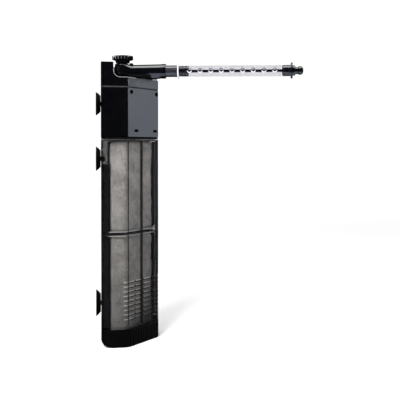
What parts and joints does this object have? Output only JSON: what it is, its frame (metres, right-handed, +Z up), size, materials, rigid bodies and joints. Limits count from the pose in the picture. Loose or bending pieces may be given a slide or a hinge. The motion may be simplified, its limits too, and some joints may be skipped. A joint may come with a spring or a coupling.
{
  "type": "internal power filter",
  "caption": "Corner-mounted internal aquarium filter: pump head with swivelling spray bar over a smoke-clear media canister held on by suction cups.",
  "frame": {"origin": "centre of the base's flat underside", "axes": "+Z up along the canister, -X the flat wall on the left pane, +Y the flat wall on the back pane, the chamfered front panel faces +X-Y"},
  "size_m": [0.2884, 0.0985, 0.4016],
  "materials": {
    "head_plastic": "satin black moulded ABS",
    "base_plastic": "satin black, ribbed",
    "smoke_plastic": "smoke-tinted clear styrene",
    "gloss_black": "glossy black",
    "clear_plastic": "clear tube, faintly blue",
    "rubber": "soft black rubber",
    "frame_plastic": "black basket plastic",
    "filter_wool": "white fibre wadding",
    "screw_steel": "dark stainless",
    "lamination_steel": "stacked laminations",
    "copper_wire": "enamelled winding",
    "ferrite": "sintered magnet",
    "ceramic_shaft": "polished",
    "impeller_plastic": "moulded"
  },
  "bodies": {
    "canister": {"base": "base_plastic", "canister": "smoke_plastic", "canister_seal": "rubber", "lower_basket": "frame_plastic", "upper_basket": "frame_plastic", "lower_wool": "filter_wool", "upper_wool": "filter_wool", "left_cup_middle": "rubber", "left_cup_lower": "rubber", "back_cup_middle": "rubber", "back_cup_lower": "rubber"},
    "head": {"pump_housing": "head_plastic", "head_cover": "head_plastic", "cover_screw_left": "screw_steel", "cover_screw_right": "screw_steel", "cable_gland": "rubber", "motor_housing": "base_plastic", "motor_lid": "base_plastic", "stator_core": "lamination_steel", "stator_coil": "copper_wire", "rotor_shaft": "ceramic_shaft", "shaft_bush_upper": "rubber", "shaft_bush_lower": "rubber", "pump_chamber": "base_plastic", "intake_cover": "base_plastic", "left_cup_upper": "rubber", "back_cup_upper": "rubber"},
    "rotor": {"rotor_magnet": "ferrite", "impeller": "impeller_plastic"},
    "outlet": {"outlet_elbow": "gloss_black", "elbow_o_ring": "rubber", "bar_sleeve": "clear_plastic"},
    "knob": {"flow_knob": "gloss_black", "flow_valve": "base_plastic", "knob_o_ring": "rubber"},
    "bar": {"spray_bar": "clear_plastic", "bar_coupling": "gloss_black"},
    "plug": {"end_plug": "gloss_black"}
  },
  "joints": [
    {"name": "head_release", "type": "slide", "parent": "canister", "child": "head", "axis": [0, 0, 1], "range_m": [0, 0.03]},
    {"name": "impeller_spin", "type": "hinge", "parent": "head", "child": "rotor", "pos_m": [-0.00424, -0.01556, 0.32], "axis": [0, 0, 1], "continuous": true},
    {"name": "outlet_swivel", "type": "hinge", "parent": "head", "child": "outlet", "pos_m": [-0.0096, 0.01, 0.37], "axis": [0, 0, 1], "range_deg": [-78, 12]},
    {"name": "flow_knob_turn", "type": "hinge", "parent": "outlet", "child": "knob", "pos_m": [-0.0096, 0.01, 0.39], "axis": [0, 0, 1], "range_deg": [0, 90]},
    {"name": "spray_bar_turn", "type": "hinge", "parent": "outlet", "child": "bar", "pos_m": [-0.0096, 0.01, 0.3798], "axis": [0.9781, -0.2079, 0], "continuous": true},
    {"name": "end_plug_pull", "type": "slide", "parent": "bar", "child": "plug", "axis": [0.9781, -0.2079, 0], "range_m": [0, 0.015]}
  ]
}
